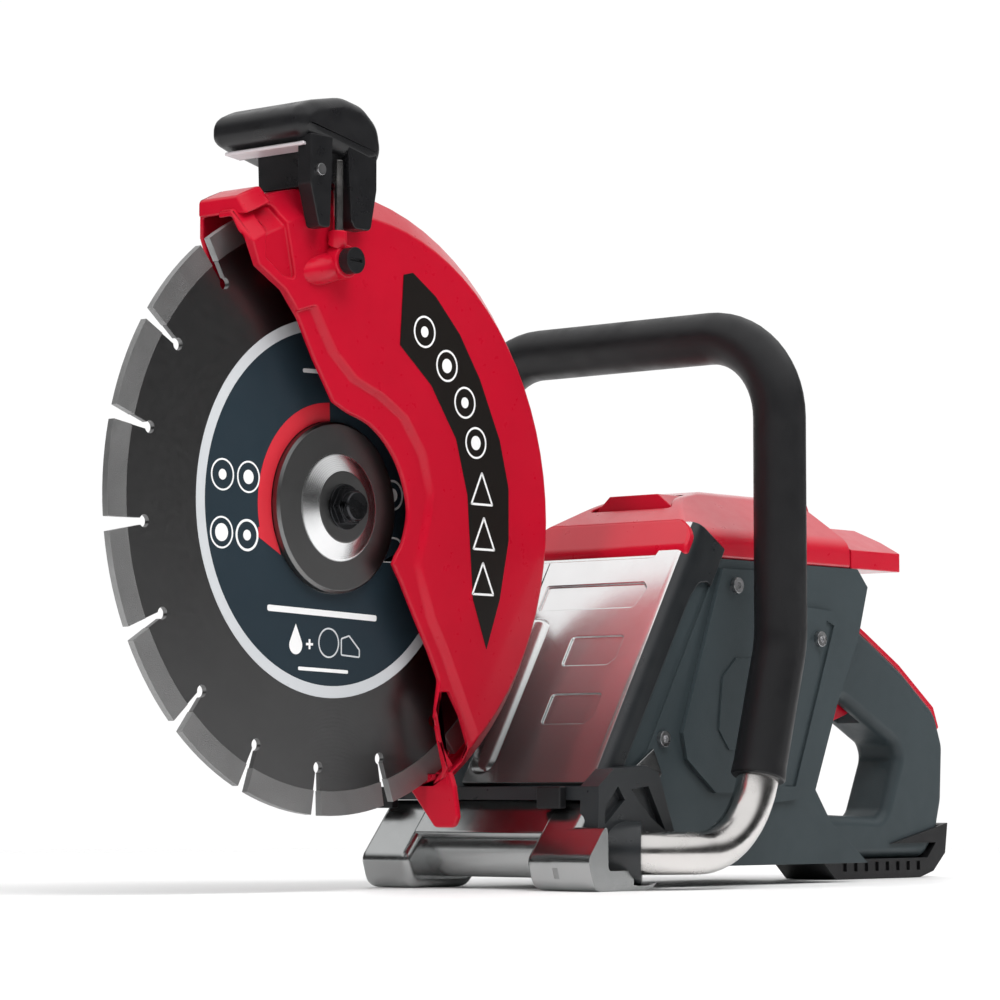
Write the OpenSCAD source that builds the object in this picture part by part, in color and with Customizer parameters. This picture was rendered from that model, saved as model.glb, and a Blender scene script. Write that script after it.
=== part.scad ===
// Battery rescue saw: a 350 mm segmented blade on a belt-driven arm, with a turning guard.
// X runs forward to the blade, Y to the operator's left, Z up. Shapes are drawn round the
// spindle axis (blade's outer face at Y = 0) and stood on the floor by stand().

/* [Blade] */
// Diameter over the segments
blade_d = 350; // [340:1:352]
// Thickness of the segments
segment_t = 4.4; // [3.6:0.1:4.8]
// Thickness of the steel core
core_t = 3.2; // [2.6:0.1:3.4]
// Radial height of a segment
segment_h = 14; // [10:1:16]
// Number of segments and of slots between them
segments = 18; // [12:1:24]
// Bore of the blade
arbor_d = 25.4; // [22.2:0.1:26]
// Diameter of the clamping flanges
flange_d = 98; // [90:1:100]

/* [Guard] */
// Outer radius of the guard
guard_r = 182.4; // [181:0.1:183]
// Wall thickness of the guard casting
guard_t = 3; // [2:0.5:4]
// Near face of the guard, measured from the blade face
guard_near = 20; // [18:1:22]
// Far face of the guard
guard_far = -25; // [-27:1:-24]

/* [Body] */
// Height of the spindle above the floor
spindle_h = 218; // [216:1:230]
// Left side of the body
body_left = 80; // [78:1:82]
// Right side of the body
body_right = -44; // [-44.5:0.5:-42]
// Wall thickness of the mouldings
wall = 3; // [2:0.5:4]

/* [Handles] */
// Diameter of the front handle tube
tube_d = 25; // [22:1:26]
// Diameter over the rubber grip
grip_d = 33; // [30:1:34]
// Distance from the centre plane to each upright of the front handle
handle_half = 120; // [118:1:124]
// Height of the front handle's top bar above the spindle
bar_z = 116; // [110:1:120]

/* [Drive] */
// Running radius of the motor pulley
motor_pulley_r = 20; // [16:1:24]
// Running radius of the spindle pulley
spindle_pulley_r = 40; // [34:1:42]

/* [Hidden] */
$fn = 96;
spindle_x = 197.7;
steel_y = -(segment_t + core_t) / 2;      // back face of the blade core
core_y = -(segment_t - core_t) / 2;       // front face of the blade core
core_r = blade_d / 2 - segment_h;
slot_root_r = core_r - 13;
motor = [-232, -100];                     // motor axis, X and Z
seat = 0.05;                              // running clearance of journals
handle_x = -266;
bar_bend = 52;                            // corner radius of the front handle's top
slope = asin(0.28);                       // lean of the lower left upright, degrees
low_bend = 60;
tube_gap = 0.02;                          // the lower tube's two bends stop this short, degrees
arm_y = [-58, body_right - 0.5];          // drive arm, back and front
valve = [18, 137];                        // axis of the water valve
water_x = 23;                             // water tube beside the valve
cover_y = -86;                            // outer face of the belt cover
rear_mid = 15;                            // centre plane of the rear handle
rear_half = 18;

red = [0.78, 0.07, 0.17];
slate = [0.24, 0.28, 0.29];
black = [0.12, 0.12, 0.13];
metal = [0.72, 0.73, 0.74];
steel = [0.45, 0.46, 0.48];

// Front line of the shield, from its top to its foot, in X and Z
shield_top = [-236, 2];
shield_foot = [-139, -156];
shield_dir = (shield_foot - shield_top) / norm(shield_foot - shield_top);
return_depth = 31;                             // how far the side returns reach back

// ---------- placing helpers ----------
// Stands a shape drawn round the spindle on the floor
module stand() translate([spindle_x, 0, spindle_h]) children();
// Extrudes an X-Z outline from y0 to y1
module side(y0, y1) translate([0, y1, 0]) rotate([90, 0, 0]) linear_extrude(y1 - y0) children();
// Extrudes a Y-Z outline from x0 to x1
module front(x0, x1) translate([x0, 0, 0]) rotate([90, 0, 90]) linear_extrude(x1 - x0) children();
// Cylinder along Y through the X-Z point c
module rod(r, y0, y1, c = [0, 0])
    translate([c[0], y1, c[1]]) rotate([90, 0, 0]) cylinder(r = r, h = y1 - y0);
// Turns a profile of [radius, Y] points about the Y line through c
module turn(c = [0, 0]) translate([c[0], 0, c[1]]) rotate([-90, 0, 0]) rotate_extrude() children();
// Outline of an open belt round two circles, as a fine polygon
module belt_line(c1, r1, c2, r2, steps = 32) {
    d = norm(c2 - c1);
    along = atan2(c2[1] - c1[1], c2[0] - c1[0]);
    lean = acos((r1 - r2) / d);
    function rim(c, r, a) = c + r * [cos(a), sin(a)];
    polygon(concat(
        [for (i = [0 : steps]) rim(c1, r1, along + lean + (360 - 2 * lean) * i / steps)],
        [for (i = [0 : steps]) rim(c2, r2, along - lean + 2 * lean * i / steps)]));
}
// Repeats a shape at each X-Z point
module each_at(points) for (p = points) translate([p[0], 0, p[1]]) children();
// Helical spring of round wire, standing on z = 0
module helix(r, wire, turns, h, steps = 12, sides = 6) {
    n = turns * steps;
    rings = [for (i = [0 : n]) let (a = 360 * i / steps) [for (j = [0 : sides - 1])
        let (b = 360 * j / sides, q = r + wire * cos(b))
        [q * cos(a), q * sin(a), wire + (h - 2 * wire) * i / n + wire * sin(b)]]];
    walls = [for (i = [0 : n - 1], j = [0 : sides - 1]) let (k = (j + 1) % sides)
        [i * sides + j, (i + 1) * sides + j, (i + 1) * sides + k, i * sides + k]];
    polyhedron([for (ring = rings) each ring], concat(walls,
        [[for (j = [0 : sides - 1]) j]], [[for (j = [sides - 1 : -1 : 0]) n * sides + j]]));
}
// Button-head screw along Y: head outside of y, shank inward (dir +1 faces +Y)
module screw(y, dir, r = 2.5, length = 14, head = 4.8) {
    flip = dir > 0 ? 90 : -90;
    translate([0, y, 0]) rotate([-flip, 0, 0]) difference() {
        union() {
            cylinder(r = head, h = 3);
            translate([0, 0, -length]) cylinder(r = r, h = length);
        }
        translate([0, 0, 1]) cylinder(r = 2.4, h = 3, $fn = 6);
    }
}

// ---------- body ----------
// Point on the shield's line at height z, moved back by depth
function shield_x(z, depth = 0) =
    shield_top[0] + (z - shield_top[1]) * shield_dir[0] / shield_dir[1]
    - depth / cos(atan2(shield_dir[0], -shield_dir[1]));

body_outline = [[shield_x(-20, 3), -20], [shield_x(-158, 3), -158], [-172, -206], [-412, -206],
    [-372, -180], [-356, -160], [-381, -104], [-403, -65], [-414, -31], [-403, -20]];
body_hollow = [[shield_x(-23, 8), -23], [shield_x(-155, 8), -155], [-174, -203], [-398, -203],
    [-370, -183], [-353, -161], [-378, -104], [-400, -66], [-408, -31], [-402, -23]];
cover_screws = [[-270, -36], [-356, -66]];
housing_screw = [-201, -130];
loop_outer = [[-404, -32], [-430, -34], [-485, -61], [-522, -81], [-561, -108], [-570, -130],
    [-568, -167], [-561, -190], [-546, -205], [-412, -205], [-372, -180], [-356, -160],
    [-381, -104], [-403, -65]];
loop_hole = [[-441, -108], [-452, -101], [-512, -130], [-516, -138], [-500, -173], [-494, -178],
    [-436, -176], [-421, -162]];
trigger_slot = [[-428, -78], [-480, -100], [-486, -125], [-430, -118]];

module body_half(y0, y1) {
    difference() {
        side(y0, y1) polygon(body_outline);
        children();
    }
}
// Space taken by the shield and its side returns
module shield_block(grow = 0.1) {
    depth = return_depth + grow;
    side(-50, 90) polygon([[shield_x(20), 20], [shield_x(-175), -175],
        [shield_x(-175, depth), -175], [shield_x(20, depth), 20]]);
}

module left_housing() color(slate) body_half(rear_mid, body_left) {
    side(rear_mid - 1, body_left - wall) polygon(body_hollow);
    // step for the shield's side return
    intersection() {
        shield_block();
        side(body_left - 1.6, body_left + 5) polygon([[-300, 20], [-100, 20], [-100, -163], [-300, -163]]);
    }
    each_at(concat(cover_screws, [housing_screw])) rod(2.6, body_left - 12, body_left + 1);
    // mouth of the loop handle
    side(rear_mid - 1, rear_mid + rear_half - wall) polygon([[-395, -60], [-430, -60], [-430, -90], [-385, -90]]);
}
module right_housing() color(slate) body_half(body_right, rear_mid) {
    side(body_right + wall, rear_mid + 1) polygon(body_hollow);
    rod(43.3, body_right - 1, body_right + wall + 1, motor);
    each_at(arm_screws_at) rod(arm_screw_r + seat, body_right - 1, body_right + wall + 1);
    each_at([for (x = clamp_screws_x) [x, right_end_z]]) rod(2.6, body_right - 1, body_right + 5);
    side(rear_mid - rear_half + wall, rear_mid + 1) polygon([[-395, -60], [-430, -60], [-430, -90], [-385, -90]]);
}

// Screwed service cover on the left side, with two cooling slots in its rear channel
cover_outline = [[-258, -26], [-218, -126], [-222, -142], [-250, -162], [-302, -162], [-306, -168],
    [-333, -166], [-378, -56], [-372, -48], [-336, -46], [-320, -26]];
module side_cover() color(slate) difference() {
    union() {
        side(body_left + 0.02, body_left + 3) polygon(cover_outline);
        side(body_left + 3, body_left + 4)
            polygon([[-270, -80], [-306, -80], [-316, -92], [-316, -124], [-304, -136], [-262, -136], [-252, -124], [-256, -92]]);
    }
    side(body_left + 1.5, body_left + 5) polygon([[-365, -54], [-373, -57], [-331, -158], [-320, -158]]);
    each_at(cover_screws) rod(2.6, body_left - 1, body_left + 6);
}
module side_cover_screws() color(metal) {
    each_at(cover_screws) screw(body_left + 3.02, 1, length = 12);
    each_at([housing_screw]) screw(body_left + 0.02, 1, length = 9);
}

// Red top cover, a tunnel over the battery
module ridge_section() polygon([[-44, -20], [-44, -2], [-6, 26], [36, 26], [80, -4], [80, -20]]);
module top_cover() color(red) difference() {
    intersection() {
        front(-420, -225) ridge_section();
        side(-60, 90) polygon([[shield_x(-19.9, 3), -19.9], [shield_x(3, 3), 3], [-262, 19], [-300, 26],
            [-392, 26], [-396, 20], [-396, -19.9]]);
    }
    // step for the shield's side return
    intersection() {
        shield_block();
        side(body_left - 1.6, body_left + 5) square([900, 60], center = true);
    }
    // battery bay, open at the rear
    front(-400, -252) polygon([[-33, -22], [-33, -2], [-4, 22.5], [34, 22.5], [67, -2], [67, -22]]);
}

// Polished shield: a plate down the front of the body, with a return down its left side
// Point s down the shield's line and depth d behind it
function shield_at(s, d) = shield_top + s * shield_dir - d * [-shield_dir[1], shield_dir[0]];
module shield_plate(d0, d1, s0, s1, y0, y1) side(y0, y1)
    polygon([shield_at(s0, d0), shield_at(s1, d0), shield_at(s1, d1), shield_at(s0, d1)]);
shield_len = norm(shield_foot - shield_top);
module front_shield() color(metal) difference() {
    union() {
        shield_plate(0, 3, 0, shield_len, -24, body_left);
        shield_plate(0, 3, 0, 52, body_right, -24);
        shield_plate(0, return_depth, 0, shield_len, body_left - 1.5, body_left + 1.5);
        // rib beside the drive arm
        shield_plate(-5, 1, 66, shield_len - 4, -24, -3);
    }
    // two wide grooves and two small recesses
    shield_plate(-1, 1.6, 8, 25.5, -20, 60);
    shield_plate(-1, 1.6, 44, 61.5, -20, 60);
    shield_plate(-1, 1.6, 82, 102.5, 18, 57.5);
    shield_plate(-1, 1.6, 123, 144, 20, 57.5);
    // foot and top trimmed level, with the return's lower corner cut away
    side(-60, 90) polygon([[-300, -131], [-192, -131], [-150, -157.5], [-100, -157.5], [-100, -230], [-300, -230]]);
    side(-60, 90) polygon([[-300, 2], [-200, 2], [-200, 40], [-300, 40]]);
}
module frame_plate() color(metal) side(body_left + 0.05, body_left + 2)
    polygon([[-191, -136], [-199, -151], [-185, -163.5], [-166, -151]]);

// ---------- front foot ----------
plate_z = [-166, -158.2];
module chassis_plate() color(slate) difference() {
    union() {
        front(-150, -122) polygon([[-78, plate_z[0]], [90, plate_z[0]], [90, plate_z[1]], [-78, plate_z[1]]]);
        // left arm of the plate, which carries the handle socket
        side(82.2, 96) polygon([[-122, plate_z[0]], [-120, -200], [-126, -206], [-176, -206], [-198, -198],
            [-178, -150], [-166, -146], [-136, -148], [-122, plate_z[1]]]);
        intersection() {
            socket_axis() translate([0, 0, -6]) cylinder(r = 18.5, h = 28);
            side(82.2, 120) square([400, 600], center = true);
        }
    }
    socket_axis() cylinder(d = tube_d, h = 40);
    side(body_right - 1, body_left + 0.02) polygon(body_outline);
    // pockets that leave ribs standing in the outer face
    side(92, 100) polygon([[-128, -170], [-128, -180], [-146, -166], [-140, -158]]);
    side(92, 100) polygon([[-168, -158], [-152, -160], [-170, -176], [-184, -184]]);
}
// Line of the front handle's lower end, from the tube's end out of the socket
module socket_axis() translate(tube_end) rotate([-90, 0, socket_turn]) children();

module skid_pads() color(black) for (y = [-77, 54])
    translate([-122, y, -171]) cube([6, 18, 12.8]);

skid_side = [[-128, -166.2], [-100, -200], [-106, -218], [-158, -218], [-170, -206.5], [-170, -166.2]];
module front_skid() color(metal) difference() {
    union() {
        side(-72, -34) polygon(skid_side);
        side(58, 82.1) polygon(skid_side);
        side(82, 106) polygon([[-118, -178], [-100, -200], [-106, -218], [-158, -218], [-170, -206.5], [-118.5, -206.5]]);
        // roll between the two feet
        side(-34, 58) polygon([[-142, -166.2], [-130, -180], [-134, -200], [-160, -206], [-170, -200], [-170, -166.2]]);
        rod(13, -34, 58, [-134, -190]);
    }
    side(body_right - 1, body_left + 0.02) polygon(body_outline);
    // seat of the handle socket and of the tube's end
    intersection() {
        socket_axis() translate([0, 0, -8]) cylinder(r = 18.6, h = 60);
        side(82.05, 130) square([400, 600], center = true);
    }
    socket_axis() translate([0, 0, -0.2]) cylinder(d = tube_d + 0.4, h = 40);
    side(82.15, 96.05) polygon([[-122, plate_z[0] - 1], [-119.9, -200], [-125.9, -206.1], [-176, -206.1], [-198, -198],
        [-178, -150], [-122, -150]]);
    // clearance for the blade guard's sweep
    rod(guard_r + 16, -29, 25);
    each_at([[-150, -190]]) for (y = [-53, 70]) translate([0, y, -30]) cylinder(r = 4.25, h = 26);
}

// ---------- front handle ----------
// Section of a round tube: outside d, bore b
module ring(d, b) difference() {
    circle(d = d);
    if (b > 0) circle(d = b);
}
// Straight length of tube along +Z
module straight(d, b, h) linear_extrude(h) ring(d, b);
// Bend of a tube: plane "XZ", "YZ" or "XY", centre c, radius r, from angle a0 to a1
module bend(plane, c, r, a0, a1, d, b) {
    turned = plane == "XZ" ? [90, 0, 0] : plane == "YZ" ? [90, 0, 90] : [0, 0, 0];
    translate(c) rotate(turned) rotate([0, 0, a0]) rotate_extrude(angle = a1 - a0)
        translate([r, 0]) ring(d, b);
}
slope_bend = 70;
slope_start = [handle_x + slope_bend - slope_bend * cos(slope), -62 - slope_bend * sin(slope)];
slope_len = 75;
slope_end = slope_start + slope_len * [sin(slope), -cos(slope)];
low_c = slope_end + low_bend * [cos(slope), sin(slope)];
low_z = low_c[1] - low_bend;
socket_turn = asin(0.6);                  // direction of the tube in the socket, from +Y
low_turn = 36;                            // radius of the turn into the socket
socket_len = 26;
turn_end = [low_c[0] + low_turn * cos(socket_turn), handle_half - low_turn + low_turn * sin(socket_turn)];
tube_end = [turn_end[0] + socket_len * sin(socket_turn), turn_end[1] - socket_len * cos(socket_turn), low_z];
right_end_z = -25;
clamp_screws_x = [-290, -242];
right_bend = 43;
right_z = right_end_z + right_bend;

module handle_upper(d, b) {
    translate([handle_x, bar_bend - handle_half, bar_z]) rotate([-90, 0, 0])
        straight(d, b, 2 * (handle_half - bar_bend));
    bend("YZ", [handle_x, handle_half - bar_bend, bar_z - bar_bend], bar_bend, 0, 90, d, b);
    bend("YZ", [handle_x, bar_bend - handle_half, bar_z - bar_bend], bar_bend, 90, 180, d, b);
    translate([handle_x, handle_half, -62]) straight(d, b, bar_z - bar_bend + 62);
    bend("XZ", [handle_x + slope_bend, handle_half, -62], slope_bend, 180, 180 + slope, d, b);
    translate([slope_start[0], handle_half, slope_start[1]]) rotate([0, 180 - slope, 0])
        straight(d, b, slope_len);
    translate([handle_x, -handle_half, right_z]) straight(d, b, bar_z - bar_bend - right_z);
}
module handle_lower(d, b) {
    bend("XZ", [low_c[0], handle_half, low_c[1]], low_bend, 180 + slope, 270 - tube_gap, d, b);
    bend("XY", [low_c[0], handle_half - low_turn, low_z], low_turn, 90, socket_turn, d, b);
    translate(tube_end) rotate([-90, 0, socket_turn]) straight(d, b, socket_len);
}
module handle_right_foot(d, b) {
    bend("YZ", [handle_x, right_bend - handle_half, right_z], right_bend, 180, 270, d, b);
    translate([handle_x, right_bend - handle_half, right_end_z]) rotate([-90, 0, 0])
        straight(d, b, handle_half - right_bend + body_right - 2);
}
module front_handle_tube() color(metal) {
    handle_upper(tube_d, tube_d - 4);
    handle_lower(tube_d, tube_d - 4);
    handle_right_foot(tube_d, tube_d - 4);
}
module front_handle_grip() color(black) handle_upper(grip_d, tube_d);
module handle_clamp() color(slate) difference() {
    union() {
        rod(19, body_right - 16, body_right - 0.02, [handle_x, right_end_z]);
        side(body_right - 6, body_right - 0.02)
            polygon([[-296, -40], [-296, -10], [-236, -10], [-236, -32], [-262, -48], [-284, -48]]);
    }
    rod(tube_d / 2, body_right - 20, body_right - 2, [handle_x, right_end_z]);
    for (x = clamp_screws_x) rod(2.6, body_right - 20, body_right + 1, [x, right_end_z]);
}
module handle_clamp_screws() color(metal) for (x = clamp_screws_x)
    translate([x, 0, right_end_z]) screw(body_right - 6.02, -1, length = 8);

// ---------- rear handle ----------
module loop_half(y0, y1) difference() {
    side(y0, y1) polygon(loop_outer);
    side(-50, 80) polygon(loop_hole);
    side(-50, 80) polygon(body_outline);
    // hollow of the top bar, open to the trigger
    side(rear_mid - rear_half + wall, rear_mid + rear_half - wall)
        polygon([[-412, -42], [-430, -42], [-484, -68], [-520, -87], [-516, -120], [-452, -90], [-420, -84], [-404, -68]]);
    side(rear_mid - 9, rear_mid + 9) polygon(trigger_slot);
    side(rear_mid - 8, rear_mid + 8) polygon([[-443, -26], [-443, -48], [-487, -70], [-487, -40]]);
    rod(2.02, rear_mid - 14, rear_mid + 14, [-436, -86]);
    rod(2.02, rear_mid - 14, rear_mid + 14, [-478, -68]);
}
module rear_handle_left() color(slate) loop_half(rear_mid, rear_mid + rear_half);
module rear_handle_right() color(slate) loop_half(rear_mid - rear_half, rear_mid);
module rear_handle_trim() color(red) difference() {
    side(rear_mid - 13, rear_mid + 13)
        polygon([[-431, -33], [-485, -60.5], [-522, -80.5], [-561, -107.5], [-567, -120],
            [-570.4, -118], [-564, -104], [-524, -76.6], [-486, -56.4], [-432, -29]]);
    side(rear_mid - 8.5, rear_mid + 8.5) polygon([[-443, -20], [-443, -48], [-487, -70], [-487, -40]]);
}
module rear_foot() color(black) difference() {
    side(rear_mid - 20, rear_mid + 20) polygon([[-424, -205.02], [-440, -218], [-536, -218], [-552, -214],
        [-566, -202], [-569, -182], [-500, -196]]);
    side(rear_mid - rear_half - 0.02, rear_mid + rear_half + 0.02) polygon(loop_outer);
    side(rear_mid - 21, rear_mid + 21) polygon([[-400, -196], [-400, -205], [-545, -205], [-555, -195]]);
    for (x = [-536 : 12 : -446], y = [rear_mid - 22, rear_mid + 18])
        translate([x, y, -213]) cube([4, 4, 6]);
}
module trigger_pin() color(steel) rod(2, rear_mid - 14, rear_mid + 14, [-436, -86]);
module lock_off_pin() color(steel) rod(2, rear_mid - 14, rear_mid + 14, [-478, -68]);
module trigger() color(red) difference() {
    side(rear_mid - 7, rear_mid + 7) polygon([[-430, -80], [-442, -80], [-474, -95], [-480, -103], [-472, -110],
        [-452, -116], [-443, -113], [-434, -96], [-430, -90]]);
    rod(2 + seat, rear_mid - 8, rear_mid + 8, [-436, -86]);
}
module trigger_switch() color(black) {
    side(rear_mid - 6, rear_mid + 6) polygon([[-486, -74], [-512, -87], [-509, -101], [-488, -92]]);
}
module trigger_spring() color(steel) translate([-458, rear_mid, -85]) helix(3.4, 0.5, 7, 26.5);
module lock_off_lever() color(red) difference() {
    side(rear_mid - 6, rear_mid + 6) polygon([[-450, -40], [-453, -34], [-476, -45], [-484, -58], [-484, -66],
        [-478, -73], [-473, -68], [-468, -57], [-452, -48]]);
    rod(2 + seat, rear_mid - 8, rear_mid + 8, [-478, -68]);
}

// ---------- drive ----------
arm_end_r = 56;                           // rim of the arm round the motor
arm_screws_at = [for (a = [120, 203, 286]) motor + 51 * [cos(a), sin(a)]];
arm_screw_r = 3;
module drive_arm() color(metal) difference() {
    union() {
        difference() {
            side(arm_y[0], arm_y[1]) belt_line([0, 0], 48, motor, arm_end_r);
            // lightening pocket between the two bosses
            side(arm_y[0] - 1, arm_y[1] - 5) belt_line([-78, -34], 22, [-138, -60], 24);
        }
        rod(30, arm_y[0], -20);
        rod(43, arm_y[1] - 1, body_right, motor);
        rod(40, arm_y[1] - 1, body_right + 6, motor);
    }
    // bearing seats
    rod(21, -58.5, -31.5);
    rod(14, -33, -19);
    rod(16, -60, -46, motor);
    rod(9, -47, -30, motor);
    each_at(arm_screws_at) rod(arm_screw_r + seat, arm_y[0] - 1, arm_y[1] + 1);
}
// Screws that hold the arm's rim to the right housing
module arm_screws() color(metal) each_at(arm_screws_at)
    screw(arm_y[0] - 0.02, -1, r = arm_screw_r, length = body_right + wall - arm_y[0], head = 4);

// Ball bearing along Y: bore b, outside o, width w, starting at y0
module bearing(b, o, w, y0, c, balls = 8) {
    mid = (b + o) / 2;
    race = (o - b) * 0.28;
    difference() {
        rod(o, y0, y0 + w, c);
        rod(o - race, y0 - 1, y0 + w + 1, c);
    }
    difference() {
        rod(b + race, y0, y0 + w, c);
        rod(b + 0.03, y0 - 1, y0 + w + 1, c);
    }
    for (i = [0 : balls - 1]) translate([c[0], y0 + w / 2, c[1]]) rotate([0, i * 360 / balls, 0])
        translate([mid, 0, 0]) sphere(r = (o - b) / 2 - race - 0.1, $fn = 32);
}
module spindle_bearings() color(steel) {
    bearing(10, 20.98, 12, -57.8, [0, 0]);
    bearing(10, 20.98, 12, -44, [0, 0]);
}
module motor_bearings() color(steel) {
    bearing(6, 15.98, 9, -56, motor, 7);
    bearing(6, 13, 7, 16, motor, 7);
}

module belt_cover() color(slate) difference() {
    side(cover_y, arm_y[0] - 0.02) belt_line([0, 0], 50, motor, 46);
    side(cover_y + wall, arm_y[0] + 1) belt_line([0, 0], 47, motor, 43);
}
module belt_cover_screws() color(metal) each_at([[0, 0], [-232, -100], [-116, -50]])
    rod(4.5, cover_y - 2.5, cover_y - 0.02);

module drive_belt() color(black) difference() {
    side(-79, -65) belt_line([0, 0], spindle_pulley_r + 2.6, motor, motor_pulley_r + 2.6);
    side(-80, -64) belt_line([0, 0], spindle_pulley_r + 0.3, motor, motor_pulley_r + 0.3);
}
// Grooved pulley: running radius r, bore b
module pulley(r, b, c) difference() {
    turn(c) polygon(concat([[b, -81]], [[r + 3, -81], [r + 3, -79.6], [r, -79.2]],
        [for (i = [0 : 4]) each [[r, -77.6 + 2.4 * i], [r - 1.2, -76.9 + 2.4 * i], [r, -76.2 + 2.4 * i]]],
        [[r, -64.8], [r + 3, -64.4], [r + 3, -63], [b, -63]]));
    for (a = [0 : 60 : 300]) rod(r * 0.16, -82, -62, c + r * 0.66 * [cos(a), sin(a)]);
}
module driven_pulley() color(steel) pulley(spindle_pulley_r, 10, [0, 0]);
module drive_pulley() color(steel) pulley(motor_pulley_r, 6, motor);

module motor_stator() color([0.55, 0.35, 0.2]) difference() {
    rod(39, -37.5, 4, motor);
    rod(26.5, -38, 5, motor);
    for (a = [0 : 30 : 330]) rotate_about(motor, a)
        side(-38, 5) translate(motor + [28, 0]) square([6, 3.4], center = true);
}
module rotate_about(c, a) translate([c[0], 0, c[1]]) rotate([0, a, 0]) translate([-c[0], 0, -c[1]]) children();
module motor_end_plate() color(metal) difference() {
    union() {
        rod(39, 8, 12, motor);
        rod(17, 12, 23, motor);
        for (a = [45 : 90 : 315]) rod(3.5, 4.05, 8, motor + 34 * [cos(a), sin(a)]);
    }
    rod(13.02, 15.9, 24, motor);
    rod(8, 7, 17, motor);
}
module motor_shaft() color(steel) rod(6, -82, 40, motor);
module motor_rotor() color(steel) difference() {
    rod(25.8, -35, 1, motor);
    rod(6, -36, 2, motor);
    for (a = [0 : 45 : 315]) rotate_about(motor, a)
        side(-34, 0) translate(motor + [20, 0]) square([4, 12], center = true);
}
module cooling_fan() color(black) difference() {
    union() {
        rod(10, 27, 39, motor);
        rod(36, 27, 29, motor);
        for (a = [0 : 30 : 330]) rotate_about(motor, a)
            side(28, 39) translate(motor + [9, -1]) square([26, 2]);
    }
    rod(6, 26, 41, motor);
}
module controller_board() color([0.1, 0.35, 0.2]) {
    translate([-385, 42, -60]) cube([86, 2, 32]);
    for (x = [-378 : 16 : -320]) translate([x, 30, -56]) cube([12, 12, 24]);
}

// ---------- blade and spindle ----------
module slot_wedge() for (i = [0 : segments - 1]) rotate([0, 0, -6 + i * 360 / segments]) {
    polygon([[slot_root_r, -1.6], [blade_d / 2 + 2, -4.2], [blade_d / 2 + 2, 4.2], [slot_root_r, 1.6]]);
    translate([slot_root_r, 0]) circle(3.4, $fn = 32);
}
module blade_core() color(steel) side(steel_y, core_y) difference() {
    circle(core_r);
    circle(d = arbor_d);
    slot_wedge();
}
module blade_segments() color(metal) side(-segment_t, 0) difference() {
    circle(blade_d / 2);
    circle(core_r);
    slot_wedge();
}
module outer_flange() color(steel) turn() polygon([[8.05, 1], [32, 1], [34, core_y], [flange_d / 2, core_y],
    [flange_d / 2, 3.4], [flange_d / 2 - 1.5, 5], [30, 5.4], [20, 9.6], [8.05, 9.6]]);
module inner_flange() color(steel) turn() polygon([[10, -19], [16, -19], [18, -12], [flange_d / 2, -10],
    [flange_d / 2, steel_y], [34, steel_y], [33, steel_y - 1], [arbor_d / 2 - seat, steel_y - 1],
    [arbor_d / 2 - seat, core_y - 0.2], [10, core_y - 0.2]]);
module spindle() color(steel) difference() {
    turn() polygon([[0, -82], [9, -82], [10, -81], [10, core_y - 0.2], [0, core_y - 0.2]]);
    rod(6, -34, 1);
}
module flange_bolt() color([0.2, 0.2, 0.21]) union() {
    rod(6, -30, 9.6);
    rod(8, core_y + 0.1, 9.6);
    turn() polygon([[0, 9.6], [13, 9.6], [13, 11.2], [8.6, 11.2], [8.6, 19.4], [7.8, 20.4], [0, 20.4]]);
    translate([0, 15.6, 0]) rotate([90, 0, 0]) cylinder(r = 11, h = 4.4, $fn = 6);
}

// ---------- guard ----------
chamfer_r = 166;
// Region that the near wall covers, in X and Z
near_region = [[84, 230], [84, 174], [87, 160], [88, 148], [80, 129], [59, 117.5], [46, 103], [33, 81], [17, 58], [5, 53], [-14, 47],
    [-30, 35], [-41, 19], [-46, 0], [-42, -17], [-33, -30], [-40, -40], [-64, -80], [-73, -97], [-69, -117],
    [-74, -136], [-84, -170], [-110, -230], [-240, -230], [-240, 230]];
far_region = [[83, 230], [83, 140], [34, 24], [40, 0], [30, -30], [-20, -60], [-84, -160], [-110, -230],
    [-240, -230], [-240, 230]];
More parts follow.
